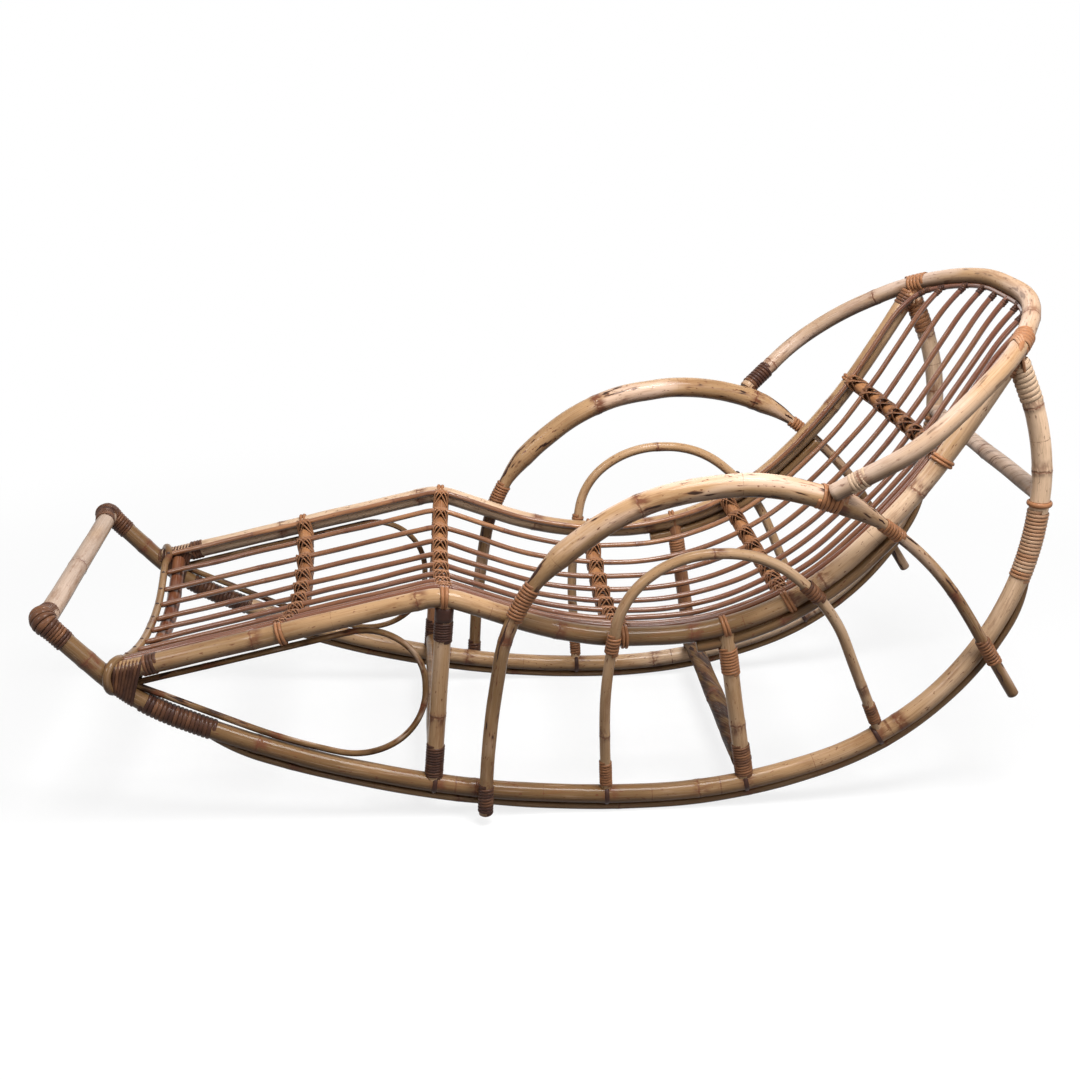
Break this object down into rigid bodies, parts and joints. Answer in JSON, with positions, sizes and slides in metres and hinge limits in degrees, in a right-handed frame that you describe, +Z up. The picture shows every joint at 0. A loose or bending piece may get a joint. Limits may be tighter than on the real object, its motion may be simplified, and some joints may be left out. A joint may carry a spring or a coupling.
{
  "type": "rocking chaise longue",
  "caption": "Rattan rocking chaise longue: bent cane runners, a trough of slats on bowed bearers, hooped arms and a flared back hoop, bound with cane peel.",
  "frame": {"origin": "on the floor, under the middle of the bounding box", "axes": "+X to the head end, -Y to the sitter's left, +Z up"},
  "size_m": [1.5575, 0.745, 0.805],
  "materials": {
    "cane": "glossy varnished honey cane",
    "pale_cane": "pale worn cane",
    "dark_cane": "dark mottled cane",
    "slat": "reddish brown varnished cane",
    "peel": "orange-brown cane peel"
  },
  "bodies": {
    "root": {"left_front_pole": "cane", "right_front_pole": "cane", "left_runner": "cane", "right_runner": "cane", "left_rear_upright": "cane", "right_rear_upright": "cane", "left_wear_strip": "cane", "right_wear_strip": "cane", "left_seat_rail": "cane", "right_seat_rail": "cane", "left_under_rail": "cane", "right_under_rail": "cane", "left_front_post": "cane", "right_front_post": "cane", "left_rear_post": "cane", "right_rear_post": "cane", "left_arm": "cane", "right_arm": "cane", "left_inner_hoop": "cane", "right_inner_hoop": "cane", "left_scroll": "cane", "right_scroll": "cane", "foot_bar": "pale_cane", "back_hoop": "cane", "hoop_band": "slat", "front_band": "slat", "front_bearer": "cane", "foot_bearer": "cane", "knee_bearer": "cane", "seat_bearer": "cane", "lumbar_bearer": "cane", "back_bearer": "cane", "front_stretcher": "dark_cane", "rear_stretcher": "dark_cane", "back_stretcher": "pale_cane", "slat_01": "slat", "slat_02": "slat", "slat_03": "slat", "slat_04": "slat", "slat_05": "slat", "slat_06": "slat", "slat_07": "slat", "slat_08": "slat", "slat_09": "slat", "slat_10": "slat", "front_splice_windings": "peel", "rear_splice_windings": "peel", "post_windings": "peel", "arm_bindings": "peel", "inner_hoop_bindings": "peel", "back_bindings": "peel", "corner_bindings": "peel", "front_joint_bindings": "peel", "foot_lashing": "peel", "knee_lashing": "peel", "seat_lashing": "peel", "lumbar_lashing": "peel", "back_lashing": "peel", "rail_straps": "peel"}
  },
  "joints": []
}
